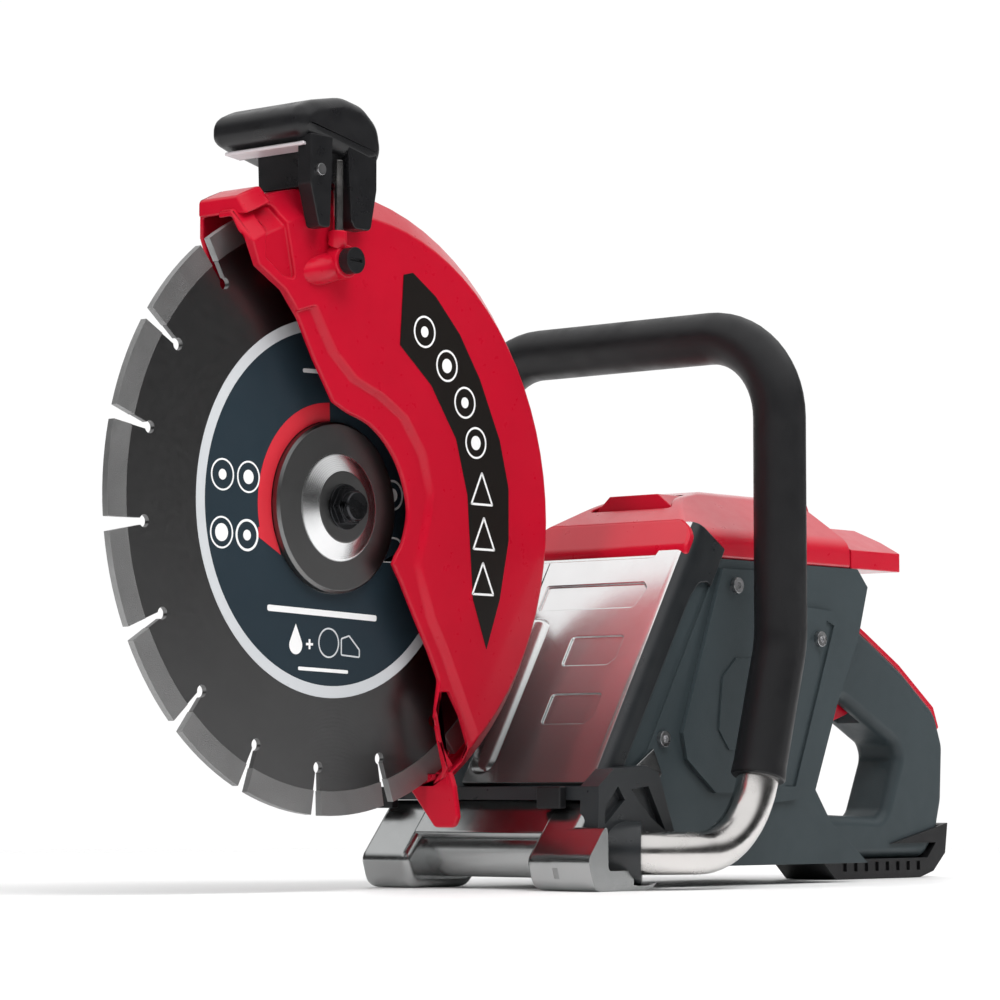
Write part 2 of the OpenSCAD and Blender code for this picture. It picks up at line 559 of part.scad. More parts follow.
// Section of the guard as [radius, Y], drawn to the axis
module guard_section(grow) {
    polygon([[0, guard_far + grow], [guard_r - grow, guard_far + grow], [guard_r - grow, 4],
        [chamfer_r - grow * 0.6, guard_near - grow], [0, guard_near - grow]]);
}
module guard_ring() turn() difference() {
    guard_section(0);
    guard_section(guard_t);
}
module guard_shell() color(red) difference() {
    union() {
        intersection() {
            guard_ring();
            union() {
                side(-6, 30) polygon(near_region);
                side(-30, -6) polygon(far_region);
            }
        }
        // stiffening lip turned in along the near wall's edge
        difference() {
            side(14.5, guard_near - guard_t + 0.5) intersection() {
                polygon(near_region);
                circle(chamfer_r - 4);
            }
            side(10, guard_near) translate([-4, -1]) polygon(near_region);
        }
        // raised bead round the mouth
        intersection() {
            turn() polygon([[180, guard_far], [188.5, guard_far], [188.5, 5.5], [169, 22], [165, 19], [180, 4.5]]);
            side(-30, 30) polygon([[66, 150], [72, 230], [84, 230], [84, 150]]);
        }
        // hub that turns on the arm's boss, and bosses of the water valve and its tube
        translate([water_x, guard_near + 5.4, 137]) {
            cylinder(r = 5, h = 17);
            translate([-4.5, -6.4, 0]) cube([9, 6.4, 17]);
        }
        rod(38, guard_far - 2, guard_far + guard_t);
        rod(9, guard_near - 1, 28, valve);
        // flap across the tail
        difference() {
            front(-86, -82) polygon([[-20, -150], [17, -150], [20, -158], [23, -176], [20, -182], [5, -182], [-14, -160]]);
            rod(blade_d / 2 + 2, -9, 5);
        }
    }
    rod(30 + seat, -40, 0);
    rod(3 + seat, guard_near - 10, 29, valve);
    rod(8, 28.1, 37, valve);              // room for the knob
    translate([water_x, guard_near + 5.4, 150]) cylinder(r = 3.02, h = 30);
    // shallow triangular recess near the mouth
    side(guard_near - 1.2, guard_near + 1) polygon([[62, 158], [77, 158], [56, 128], [48, 124]]);
}
module guard_clamp_ring() color(steel) difference() {
    rod(36, guard_far + guard_t + 0.02, -20.1);
    rod(30 + seat, -30, 0);
}
module guard_label() color(black) side(guard_near + 0.02, guard_near + 0.4)
    polygon([[-38, 136], [-35, 95], [-62, 74], [-84, 44], [-94, 12], [-97, -26], [-99, -49], [-111, -78],
        [-123, -48], [-131, -13], [-131, 18], [-123, 46], [-105, 81], [-87, 106], [-66, 126], [-46, 138]]);
module guard_handle() color(black) {
    // saddle over the rim, with two legs down the near wall and the water tube between them
    difference() {
        union() {
            side(-24, 24) polygon([[38, 168], [38, 208], [-8, 208], [-8, 168]]);
            side(guard_near - 2, 30) polygon([[50, 206], [50, 178], [43, 154], [34, 154], [32, 206]]);
            side(guard_near - 2, 30) polygon([[16, 206], [16, 160], [13, 156], [0, 156], [-5, 180], [-8, 206]]);
        }
        rod(guard_r + 0.4, -30, 4);
        turn() polygon([[0, 0], [guard_r + 0.4, 0], [guard_r + 0.4, 4.2], [chamfer_r + 0.3, guard_near + 0.3], [0, guard_near + 0.3]]);
        translate([water_x, guard_near + 5.4, 140]) cylinder(r = 3.1, h = 55);
        insert_seat();
    }
    // cross grip
    difference() {
        hull() {
            side(-44, 30) translate([46, 214]) circle(12, $fn = 32);
            side(-44, 30) translate([20, 217]) circle(14, $fn = 32);
            side(-44, 30) translate([2, 206]) circle(14, $fn = 32);
        }
        translate([water_x, guard_near + 5.4, 140]) cylinder(r = 3.1, h = 55);
        insert_seat();
    }
}
module insert_seat() side(-36.1, 26.1) polygon([[52.1, 201.8], [52.1, 199.7], [39.9, 198.4], [39.9, 200.4]]);
module guard_handle_insert() color([0.8, 0.78, 0.79]) side(-36, 26) polygon([[52, 201.6], [52, 199.9], [40, 198.6], [40, 200.2]]);
module guard_handle_screws() color(metal) translate([43, 30.02, 186]) rotate([-90, 0, 0]) cylinder(r = 3.4, h = 2);
module water_tube() color([0.8, 0.8, 0.82]) difference() {
    translate([water_x, guard_near + 5.4, 150]) cylinder(r = 3, h = 44);
    translate([water_x, guard_near + 5.4, 149]) cylinder(r = 2, h = 46);
}
module water_valve_knob() color(black) difference() {
    union() {
        rod(7.5, 28.3, 35, valve);
        rod(3, 18, 29, valve);
    }
    side(33.5, 36) translate(valve) square([10, 2], center = true);
}

// ---------- battery ----------
module battery_case() color(red) {
    difference() {
        union() {
            front(-395, -256) polygon([[-32, -19], [-32, -2.5], [-4, 21.8], [34, 21.8], [66, -2.5], [66, -19]]);
            intersection() {
                front(-450, -396.2) polygon([[-44, -19.9], [-44, -8], [-20, 8], [50, 8], [80, -8], [80, -19.9]]);
                side(-60, 90) polygon([[-396.2, 8], [-442, 8], [-450, 0], [-450, -19.9], [-396.2, -19.9]]);
            }
            front(-396.2, -395) polygon([[-32, -19], [-32, -2.5], [-4, 8], [34, 8], [66, -2.5], [66, -19]]);
        }
        front(-392, -259) polygon([[-29, -16.5], [-29, -3.5], [-3, 19], [33, 19], [63, -3.5], [63, -16.5]]);
        translate([-430, rear_mid - 12.3, -4]) cube([24.6, 24.6, 20]);
    }
}
module battery_cells() color([0.3, 0.5, 0.65]) for (i = [0 : 5])
    translate([-380 + 21 * i, -18, -6]) rotate([-90, 0, 0]) cylinder(r = 9.2, h = 70);
module battery_terminals() color([0.8, 0.6, 0.3]) for (y = [-10, 15, 40])
    translate([-255.5, y, -10]) cube([3.4, 3, 10]);
module battery_latch() color(red) {
    translate([-429.7, rear_mid - 12, -0.5]) cube([24, 24, 12]);
    side(rear_mid - 12, rear_mid + 12) polygon([[-429.7, 11.5], [-405.7, 11.5], [-408, 26], [-422, 26]]);
}
module latch_spring() color(steel) translate([-417.7, rear_mid, -3.95]) helix(6, 0.35, 2, 3.3);

stand() left_housing();
stand() right_housing();
stand() top_cover();
stand() side_cover();
stand() side_cover_screws();
stand() front_shield();
stand() frame_plate();
stand() chassis_plate();
stand() skid_pads();
stand() front_skid();
stand() front_handle_tube();
stand() front_handle_grip();
stand() handle_clamp();
stand() handle_clamp_screws();
stand() rear_handle_left();
stand() rear_handle_right();
stand() rear_handle_trim();
stand() rear_foot();
stand() drive_arm();
stand() arm_screws();
stand() spindle_bearings();
stand() belt_cover();
stand() belt_cover_screws();
stand() drive_belt();
stand() motor_stator();
stand() motor_end_plate();
stand() motor_bearings();
stand() controller_board();
stand() battery_terminals();
stand() trigger_switch();
stand() trigger_pin();
stand() lock_off_pin();
stand() trigger_spring();
stand() motor_shaft();
stand() motor_rotor();
stand() cooling_fan();
stand() drive_pulley();
stand() blade_core();
stand() blade_segments();
stand() outer_flange();
stand() inner_flange();
stand() spindle();
stand() flange_bolt();
stand() driven_pulley();
stand() guard_shell();
stand() guard_clamp_ring();
stand() guard_label();
stand() guard_handle();
stand() guard_handle_insert();
stand() guard_handle_screws();
stand() water_tube();
stand() water_valve_knob();
stand() trigger();
stand() lock_off_lever();
stand() battery_case();
stand() battery_cells();
stand() battery_latch();
stand() latch_spring();
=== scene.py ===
"""Looks of the battery rescue saw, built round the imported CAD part.

Points are written as (x, y, z) in millimetres from the spindle, X forward, Y to the operator's
left, Z up, as in part.scad; at() turns them into the row frame in metres.
"""
import math

import bmesh
import bpy
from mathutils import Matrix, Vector


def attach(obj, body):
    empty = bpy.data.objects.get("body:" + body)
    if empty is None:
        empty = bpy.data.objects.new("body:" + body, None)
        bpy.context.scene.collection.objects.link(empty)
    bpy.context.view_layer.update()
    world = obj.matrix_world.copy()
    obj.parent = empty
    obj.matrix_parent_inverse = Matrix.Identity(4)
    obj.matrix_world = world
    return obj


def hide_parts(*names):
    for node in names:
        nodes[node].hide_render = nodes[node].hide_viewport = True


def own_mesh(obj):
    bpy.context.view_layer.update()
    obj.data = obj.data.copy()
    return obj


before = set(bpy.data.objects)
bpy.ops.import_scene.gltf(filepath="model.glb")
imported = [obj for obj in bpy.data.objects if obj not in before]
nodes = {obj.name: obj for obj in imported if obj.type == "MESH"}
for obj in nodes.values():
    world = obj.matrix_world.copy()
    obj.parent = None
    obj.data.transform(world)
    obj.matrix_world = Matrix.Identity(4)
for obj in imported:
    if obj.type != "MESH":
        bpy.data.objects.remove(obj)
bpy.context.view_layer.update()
SX, SZ = 0.1977, 0.218                   # the spindle in the row frame
MM = 0.001


def at(x, y, z):
    return Vector((SX + x * MM, y * MM, SZ + z * MM))


# ---------- materials ----------
BUMP_DEPTH = 0.0004


def material(name, color, rough, metallic=0.0, coat=0.0, coat_rough=0.1, grain=None, vary=0.06,
             vary_scale=14.0, rough_vary=0.08, rings=None, specular=0.5, fade=None):
    """Principled material. grain is (scale, strength) of the bump, rings (centre, scale, strength) of
    turning marks, and fade (low z, high z, share of the colour left at the low end) of painted shade,
    which darkens the colour towards low z."""
    m = bpy.data.materials.new(name)
    m.use_nodes = True
    nt = m.node_tree
    nt.nodes.clear()
    new = nt.nodes.new
    out = new("ShaderNodeOutputMaterial")
    b = new("ShaderNodeBsdfPrincipled")
    nt.links.new(b.outputs[0], out.inputs[0])
    b.inputs["Metallic"].default_value = metallic
    b.inputs["Coat Weight"].default_value = coat
    b.inputs["Coat Roughness"].default_value = coat_rough
    b.inputs["Specular IOR Level"].default_value = specular
    tc = new("ShaderNodeTexCoord")
    cloud = new("ShaderNodeTexNoise")
    cloud.inputs["Scale"].default_value = vary_scale
    cloud.inputs["Detail"].default_value = 5
    nt.links.new(tc.outputs["Object"], cloud.inputs["Vector"])
    ramp = new("ShaderNodeValToRGB")
    dark = [c * (1 - vary) for c in color]
    light = [min(1, c * (1 + vary)) for c in color]
    ramp.color_ramp.elements[0].position = 0.3
    ramp.color_ramp.elements[1].position = 0.7
    ramp.color_ramp.elements[0].color = (*dark, 1)
    ramp.color_ramp.elements[1].color = (*light, 1)
    nt.links.new(cloud.outputs["Fac"], ramp.inputs["Fac"])
    nt.links.new(ramp.outputs["Color"], b.inputs["Base Color"])
    # painted shade: the base colour is darkened towards low z, so the lower end of the piece looks shaded
    if fade:
        split, painted_shade_by_z = new("ShaderNodeSeparateXYZ"), new("ShaderNodeMapRange")
        mix = new("ShaderNodeMixRGB")
        painted_shade_by_z.interpolation_type = "SMOOTHSTEP"
        nt.links.new(tc.outputs["Object"], split.inputs[0])
        nt.links.new(split.outputs["Z"], painted_shade_by_z.inputs["Value"])
        for k, v in (("From Min", fade[0]), ("From Max", fade[1]), ("To Min", 1.0), ("To Max", 0.0)):
            painted_shade_by_z.inputs[k].default_value = v
        mix.blend_type = "MULTIPLY"
        mix.inputs["Color2"].default_value = (fade[2], fade[2], fade[2], 1)
        nt.links.new(painted_shade_by_z.outputs["Result"], mix.inputs["Fac"])
        nt.links.new(ramp.outputs["Color"], mix.inputs["Color1"])
        nt.links.new(mix.outputs["Color"], b.inputs["Base Color"])
    spread = new("ShaderNodeMapRange")
    spread.inputs["From Min"].default_value = 0.3
    spread.inputs["From Max"].default_value = 0.7
    spread.inputs["To Min"].default_value = max(0.02, rough - rough_vary)
    spread.inputs["To Max"].default_value = min(1, rough + rough_vary)
    fine = new("ShaderNodeTexNoise")
    fine.inputs["Scale"].default_value = vary_scale * 6
    fine.inputs["Detail"].default_value = 6
    nt.links.new(tc.outputs["Object"], fine.inputs["Vector"])
    nt.links.new(fine.outputs["Fac"], spread.inputs["Value"])
    nt.links.new(spread.outputs["Result"], b.inputs["Roughness"])
    height = None
    if grain:
        g = new("ShaderNodeTexNoise")
        g.inputs["Scale"].default_value = grain[0]
        g.inputs["Detail"].default_value = 3
        nt.links.new(tc.outputs["Object"], g.inputs["Vector"])
        height = g.outputs["Fac"]
        strength = grain[1]
    if rings:
        place = new("ShaderNodeMapping")
        place.inputs["Location"].default_value = (-rings[0][0], 0, -rings[0][1])
        nt.links.new(tc.outputs["Object"], place.inputs["Vector"])
        w = new("ShaderNodeTexWave")
        w.wave_type = "RINGS"
        w.rings_direction = "Y"
        w.inputs["Scale"].default_value = rings[1]
        w.inputs["Distortion"].default_value = 1.2
        w.inputs["Detail"].default_value = 4
        w.inputs["Detail Scale"].default_value = 2
        nt.links.new(place.outputs["Vector"], w.inputs["Vector"])
        height = w.outputs["Fac"]
        strength = rings[2]
    if height:
        bump = new("ShaderNodeBump")
        bump.inputs["Strength"].default_value = strength
        bump.inputs["Distance"].default_value = BUMP_DEPTH
        nt.links.new(height, bump.inputs["Height"])
        nt.links.new(bump.outputs["Normal"], b.inputs["Normal"])
    return m


HUB = (SX, SZ)
MOTOR = (SX - 0.232, SZ - 0.1)
M = {
    "slate": material("slate_moulding", (0.038, 0.050, 0.055), 0.45, specular=0.25, grain=(1400, 0.22),
                      vary=0.07),
    "slate_dark": material("slate_dark", (0.016, 0.018, 0.020), 0.34, grain=(1200, 0.15)),
    "red_paint": material("red_enamel", (0.46, 0.004, 0.020), 0.3, coat=0.15, coat_rough=0.08,
                          specular=0.2, grain=(900, 0.02), vary=0.04, vary_scale=30, rough_vary=0.03),
    "red_plastic": material("red_moulding", (0.50, 0.005, 0.022), 0.32, specular=0.3, coat=0.6,
                            coat_rough=0.12, grain=(900, 0.07), vary=0.04, rough_vary=0.05),
    # the plate's colour darkens to 30 % towards its foot: painted shade
    "chrome": material("polished_plate_painted_shade", (0.86, 0.862, 0.865), 0.2, metallic=0.85, grain=(2600, 0.006),
                       vary=0.02, vary_scale=40, rough_vary=0.02, fade=(0.07, 0.17, 0.3)),
    "tube": material("polished_tube", (0.68, 0.66, 0.645), 0.22, metallic=1, grain=(500, 0.05),
                     vary=0.04),
    "cast": material("cast_metal", (0.42, 0.43, 0.43), 0.24, metallic=1, grain=(2600, 0.008),
                     vary=0.03, vary_scale=40, rough_vary=0.03),
    "screw": material("zinc_screw", (0.55, 0.55, 0.56), 0.28, metallic=1, grain=(900, 0.12)),
    "rubber": material("rubber", (0.009, 0.009, 0.010), 0.42, grain=(1500, 0.2), vary=0.08,
                       specular=0.35),
    "black": material("black_moulding", (0.010, 0.010, 0.011), 0.33, specular=0.35,
                      grain=(1100, 0.12), vary=0.1),
    "steel": material("turned_steel", (0.40, 0.40, 0.41), 0.3, metallic=1, rings=(HUB, 260, 0.12)),
    "motor_steel": material("turned_steel_motor", (0.38, 0.38, 0.39), 0.32, metallic=1,
                            rings=(MOTOR, 260, 0.12)),
    "plain_steel": material("ground_steel", (0.45, 0.45, 0.46), 0.3, metallic=1, grain=(800, 0.1)),
    "dark_steel": material("blackened_steel", (0.055, 0.056, 0.06), 0.3, metallic=1, grain=(700, 0.15)),
    "blade": material("blade_steel", (0.165, 0.165, 0.166), 0.3, metallic=1, rings=(HUB, 420, 0.06),
                      vary=0.03, vary_scale=40, rough_vary=0.02),
    "segment": material("sintered_segment", (0.30, 0.30, 0.30), 0.42, metallic=0.9,
                        grain=(1500, 0.5), vary=0.14),
    "belt": material("belt_rubber", (0.008, 0.008, 0.008), 0.6, grain=(1600, 0.3)),
    "copper": material("winding", (0.46, 0.17, 0.06), 0.35, metallic=0.9, rings=(MOTOR, 150, 0.5),
                       vary=0.15),
    "board": material("board_coat", (0.01, 0.10, 0.04), 0.3, coat=0.4, grain=(400, 0.2), vary=0.2),
    "brass": material("contact_brass", (0.65, 0.42, 0.13), 0.25, metallic=1, grain=(700, 0.08)),
    "cell": material("cell_wrap", (0.05, 0.13, 0.22), 0.28, coat=0.3, grain=(300, 0.08)),
    "film": material("label_film", (0.010, 0.008, 0.007), 0.35, specular=0.2, grain=(600, 0.02),
                     vary=0.02, rough_vary=0.02),
    "print": material("print_white", (0.86, 0.86, 0.86), 0.42, grain=(900, 0.05), vary=0.03),
    "navy": material("print_navy", (0.016, 0.028, 0.038), 0.42, specular=0.25, grain=(900, 0.06),
                     vary=0.06),
    "ring": material("print_ring", (0.58, 0.60, 0.62), 0.35, grain=(900, 0.05), vary=0.03),
    "print_red": material("print_red", (0.60, 0.02, 0.035), 0.4, grain=(900, 0.05), vary=0.04),
    "flange": material("flange_face", (0.19, 0.19, 0.19), 0.34, metallic=1, rings=(HUB, 300, 0.05),
                       vary=0.03, vary_scale=40, rough_vary=0.02),
    # the same turned steel as the flange face, painted brighter for the cone: a painted highlight
    "flange_painted_highlight": material("flange_cone_painted_highlight", (0.74, 0.745, 0.75), 0.24, metallic=1,
                              rings=(HUB, 300, 0.04), vary=0.03, vary_scale=40, rough_vary=0.02),
    "insert": material("pale_insert", (0.62, 0.58, 0.60), 0.4, grain=(1200, 0.12), vary=0.04),
}

# material of each CAD node
LOOK = {
    "slate": "left_housing right_housing side_cover handle_clamp rear_handle_left rear_handle_right "
             "belt_cover",
    "slate_dark": "chassis_plate",
    "red_plastic": "top_cover rear_handle_trim trigger lock_off_lever battery_case battery_latch",
    "red_paint": "guard_shell", "chrome": "front_shield",
    "cast": "frame_plate front_skid drive_arm motor_end_plate", "tube": "front_handle_tube water_tube",
    "screw": "side_cover_screws handle_clamp_screws arm_screws belt_cover_screws guard_handle_screws",
    "rubber": "front_handle_grip rear_foot skid_pads", "belt": "drive_belt",
    "black": "guard_handle water_valve_knob trigger_switch cooling_fan",
    "steel": "outer_flange inner_flange spindle driven_pulley spindle_bearings guard_clamp_ring",
    "motor_steel": "motor_shaft motor_rotor drive_pulley motor_bearings",
    "plain_steel": "trigger_pin lock_off_pin trigger_spring latch_spring",
    "dark_steel": "flange_bolt", "copper": "motor_stator", "board": "controller_board",
    "brass": "battery_terminals", "blade": "blade_core", "segment": "blade_segments",
    "film": "guard_label", "insert": "guard_handle_insert", "cell": "battery_cells",
}
# rounding in mm of the CAD nodes that show, where it isn't FINE_BEVEL
BEVEL = {"left_housing": 2.0, "right_housing": 2.0, "side_cover": 1.0, "chassis_plate": 1.2,
         "handle_clamp": 1.5, "belt_cover": 3.0, "rear_handle_trim": 1.0, "battery_case": 4.0,
         "battery_latch": 2.0, "drive_arm": 1.5, "rear_foot": 1.2, "skid_pads": 1.0, "trigger": 2.0,
         "lock_off_lever": 1.5, "frame_plate": 0.4}
FINE_BEVEL = 0.25
# nodes that pieces made below stand for
OWN = """guard_shell guard_handle guard_handle_insert front_handle_tube front_handle_grip front_shield
top_cover rear_handle_left rear_handle_right outer_flange front_skid trigger_spring latch_spring""".split()


def soften(obj, width, angle=28):
    """Rounds the crisp edges of a mesh and evens its shading."""
    w = obj.modifiers.new("weld", "WELD")
    w.merge_threshold = 2e-6
    d = obj.modifiers.new("planar", "DECIMATE")
    d.decimate_type = "DISSOLVE"
    d.angle_limit = math.radians(0.5)
    b = obj.modifiers.new("bevel", "BEVEL")
    b.width, b.segments = width * MM, 3
    b.limit_method, b.angle_limit = "ANGLE", math.radians(angle)
    b.use_clamp_overlap = True
    obj.data.shade_smooth()
    n = obj.modifiers.new("normals", "WEIGHTED_NORMAL")
    n.keep_sharp = True


for look, names in LOOK.items():
    for name in names.split():
        o = nodes[name]
        o.data.materials.clear()
        o.data.materials.append(M[look])
        if name not in OWN:
            soften(o, BEVEL.get(name, FINE_BEVEL))


# ---------- mesh helpers ----------
def link(name, bm):
    me = bpy.data.meshes.new(name)
    bmesh.ops.recalc_face_normals(bm, faces=bm.faces)
    bm.to_mesh(me)
    bm.free()
    o = bpy.data.objects.new(name, me)
    bpy.context.scene.collection.objects.link(o)
    return o


def skin(name, rings):
    """Closed solid through rings of points, with a face across each end."""
    bm = bmesh.new()
    rings = [[bm.verts.new(p) for p in ring] for ring in rings]
    bm.faces.new(rings[0])
    bm.faces.new(rings[-1][::-1])
    for a, b in zip(rings, rings[1:]):
        for i in range(len(a)):
            j = (i + 1) % len(a)
            bm.faces.new((a[i], b[i], b[j], a[j]))
    return link(name, bm)


def fillet(points, radius, steps=5):
    """Rounds the corners of a closed outline. radius is one number, or one for each corner."""
    out, n = [], len(points)
    for i, p in enumerate(points):
        r = radius[i] if isinstance(radius, (list, tuple)) else radius
        p, a, b = Vector(p), Vector(points[i - 1]), Vector(points[(i + 1) % n])
        da, db = (a - p), (b - p)
        la, lb = da.length, db.length
        da, db = da / la, db / lb
        half = da.angle(db) / 2
        reach = min(r / math.tan(half) if half > 0.01 else 0, la * 0.48, lb * 0.48)
        if reach < 0.05 or half > 1.53:          # too short to round, or already straight
            out.append(tuple(p))
            continue
        s, e = p + da * reach, p + db * reach
        for k in range(steps + 1):
            t = k / steps
            q = s * (1 - t) ** 2 + p * 2 * t * (1 - t) + e * t * t
            out.append(tuple(q))
    return out


def smooth_path(points, steps=6):
    """Catmull-Rom curve through open points."""
    out = []
    pts = [Vector(p) for p in points]
    pts = [pts[0] * 2 - pts[1]] + pts + [pts[-1] * 2 - pts[-2]]
    for i in range(1, len(pts) - 2):
        a, b, c, d = pts[i - 1:i + 3]
        for k in range(steps):
            t = k / steps
            out.append(tuple(0.5 * (2 * b + (c - a) * t + (2 * a - 5 * b + 4 * c - d) * t * t
                                    + (3 * b - a - 3 * c + d) * t ** 3)))
    out.append(tuple(pts[-2]))
    return out


def prism(name, low, y0, y1, high=None, plane="XZ"):
    """Solid between outline low at y0 and outline high at y1, which is low if not given."""
    place = {"XZ": lambda p, t: at(p[0], t, p[1]), "YZ": lambda p, t: at(t, p[0], p[1])}[plane]
    return skin(name, [[place(p, y0) for p in low], [place(p, y1) for p in high or low]])


def lathe(name, profile, c=(0, 0), steps=144):
    """Closed profile of (radius, y) turned about the line along Y through c. Points at radius 0
    meet on the axis."""
    bm = bmesh.new()
    rings = []
    for r, y in profile:
        if r <= 0:
            rings.append([bm.verts.new(at(c[0], y, c[1]))] * steps)
        else:
            angles = [2 * math.pi * k / steps for k in range(steps)]
            rings.append([bm.verts.new(at(c[0] + r * math.cos(a), y, c[1] + r * math.sin(a)))
                          for a in angles])
    for i, a in enumerate(rings):
        b = rings[(i + 1) % len(rings)]
        for k in range(steps):
            j = (k + 1) % steps
            face = []
            for v in (a[k], a[j], b[j], b[k]):
                if v not in face:
                    face.append(v)
            if len(face) > 2:
                bm.faces.new(face)
    return link(name, bm)


def rod(name, r, y0, y1, c=(0, 0), steps=48):
    return lathe(name, [(0, y0), (r, y0), (r, y1), (0, y1)], c, steps)


def tube(name, path, radius, sides=32):
    """Round bar along a path of 3-D points. radius is a number, or one for each point."""
    bm = bmesh.new()
    pts = [at(*p) for p in path]
    rings = []
    side = None
    for i, p in enumerate(pts):
        d = (pts[min(i + 1, len(pts) - 1)] - pts[max(i - 1, 0)]).normalized()
        side = (side if side is not None else d.orthogonal()).cross(d).cross(d) * -1
        side.normalize()
        up = d.cross(side)
        r = (radius[i] if isinstance(radius, (list, tuple)) else radius) * MM
        rings.append([bm.verts.new(p + (side * math.cos(a) + up * math.sin(a)) * r)
                      for a in (2 * math.pi * k / sides for k in range(sides))])
    for a, b in zip(rings, rings[1:]):
        for k in range(sides):
            j = (k + 1) % sides
            bm.faces.new((a[k], a[j], b[j], b[k]))
    bm.faces.new(rings[0])
    bm.faces.new(rings[-1][::-1])
    return link(name, bm)


def offset(points, dist):
    """Closed outline moved in by dist (out if negative), corner by corner."""
    area = sum(points[i - 1][0] * p[1] - p[0] * points[i - 1][1] for i, p in enumerate(points))
    turn = 1 if area > 0 else -1
    out, n = [], len(points)
    for i, p in enumerate(points):
        p, a, b = Vector(p), Vector(points[i - 1]), Vector(points[(i + 1) % n])
        u, v = (p - a).normalized(), (b - p).normalized()
        nu, nv = Vector((-u.y, u.x)) * turn, Vector((-v.y, v.x)) * turn
        m = (nu + nv).normalized()
        out.append(tuple(p + m * dist / max(0.5, m.dot(nu))))
    return out


def layered(name, outline, levels):
    """Solid through copies of an X-Z outline. levels holds (y, how far that copy is moved in)."""
    return skin(name, [[at(x, y, z) for x, z in offset(outline, d)] for y, d in levels])


def rim(y0, y1, radius, steps=6):
    """Levels of a solid from y0 to y1 with rounded rims."""
    arc = [math.pi / 2 * k / steps for k in range(steps + 1)]
    ease = [(radius * (1 - math.cos(a)), radius * (1 - math.sin(a))) for a in arc]
    return [(y0 + t, d) for t, d in ease] + [(y1 - t, d) for t, d in ease[::-1]]


def flare(y0, y1, radius, steps=6):
    """Levels of a cutter whose hole widens to both faces of the wall from y0 to y1."""
    return [(y0 - 2, -radius)] + [(y, -d) for y, d in rim(y0, y1, radius, steps)] + [(y1 + 2, -radius)]


def combine(obj, others, operation):
    """Boolean of obj with each of the others, which are used up."""
    for other in others:
        m = obj.modifiers.new("cut", "BOOLEAN")
        m.operation, m.object, m.solver = operation, other, "EXACT"
        settle(obj)
        bpy.data.objects.remove(other)
    return obj


def settle(obj):
    """Applies the modifiers of a piece of our own."""
    dg = bpy.context.evaluated_depsgraph_get()
    me = bpy.data.meshes.new_from_object(obj.evaluated_get(dg), depsgraph=dg)
    obj.modifiers.clear()
    obj.data = me


def cut(obj, *others):
    return combine(obj, others, "DIFFERENCE")


def join(obj, *others):
    return combine(obj, others, "UNION")


def keep(obj, *others):
    return combine(obj, others, "INTERSECT")


def piece(obj, look, body, replaces=(), round_mm=0.6, angle=28, clamp=False):
    """Rounds, paints and hands over a finished piece."""
    obj.data.materials.clear()
    obj.data.materials.append(M[look])
    w = obj.modifiers.new("weld", "WELD")
    w.merge_threshold = 2e-5
    d = obj.modifiers.new("planar", "DECIMATE")
    d.decimate_type = "DISSOLVE"
    d.angle_limit = math.radians(0.3)
    if round_mm:
        b = obj.modifiers.new("bevel", "BEVEL")
        b.width, b.segments = round_mm * MM, 3
        b.limit_method, b.angle_limit = "ANGLE", math.radians(angle)
        b.use_clamp_overlap = clamp
        b.miter_outer = "MITER_ARC"
    settle(obj)
    obj.data.shade_smooth()
    obj.data.set_sharp_from_angle(angle=math.radians(40))
    n = obj.modifiers.new("normals", "WEIGHTED_NORMAL")
    n.keep_sharp = True
    if replaces:
        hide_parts(*replaces)
    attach(obj, body)
    return obj


def outline_ring(name, outline, width, y, look, body, lift=0.12):
    """Thin printed line of a given width inside a closed outline."""
    n = len(outline)
    mid = sum((Vector(p) for p in outline), Vector((0, 0))) / n
    inner = []
    for i, p in enumerate(outline):
        p, a, b = Vector(p), Vector(outline[i - 1]), Vector(outline[(i + 1) % n])
        t = (b - a).normalized()
        nrm = Vector((-t.y, t.x))
        if nrm.dot(mid - p) < 0:
            nrm = -nrm
        inner.append(tuple(p + nrm * width))
    bm = bmesh.new()
    levels = [[bm.verts.new(at(p[0], h, p[1])) for p in line]
              for h in (y, y + lift) for line in (outline, inner)]
    low_out, low_in, top_out, top_in = levels
    for i in range(n):
        j = (i + 1) % n
        bm.faces.new((top_out[i], top_in[i], top_in[j], top_out[j]))
        bm.faces.new((low_out[j], low_in[j], low_in[i], low_out[i]))
        bm.faces.new((top_out[j], low_out[j], low_out[i], top_out[i]))
        bm.faces.new((top_in[i], low_in[i], low_in[j], top_in[j]))
    return piece(link(name, bm), look, body, round_mm=0)


def circle(c, r, steps=40, a0=0.0, a1=360.0):
    """Circle, or the arc from a0 to a1 in degrees with both its ends."""
    n = steps if a1 - a0 >= 360 else steps + 1
    angles = [math.radians(a0 + (a1 - a0) * k / steps) for k in range(n)]
    return [(c[0] + r * math.cos(a), c[1] + r * math.sin(a)) for a in angles]


def patch(name, outline, y, look, body, lift=0.12):
    """Thin printed area."""
    return piece(prism(name, outline, y, y + lift), look, body, round_mm=0)


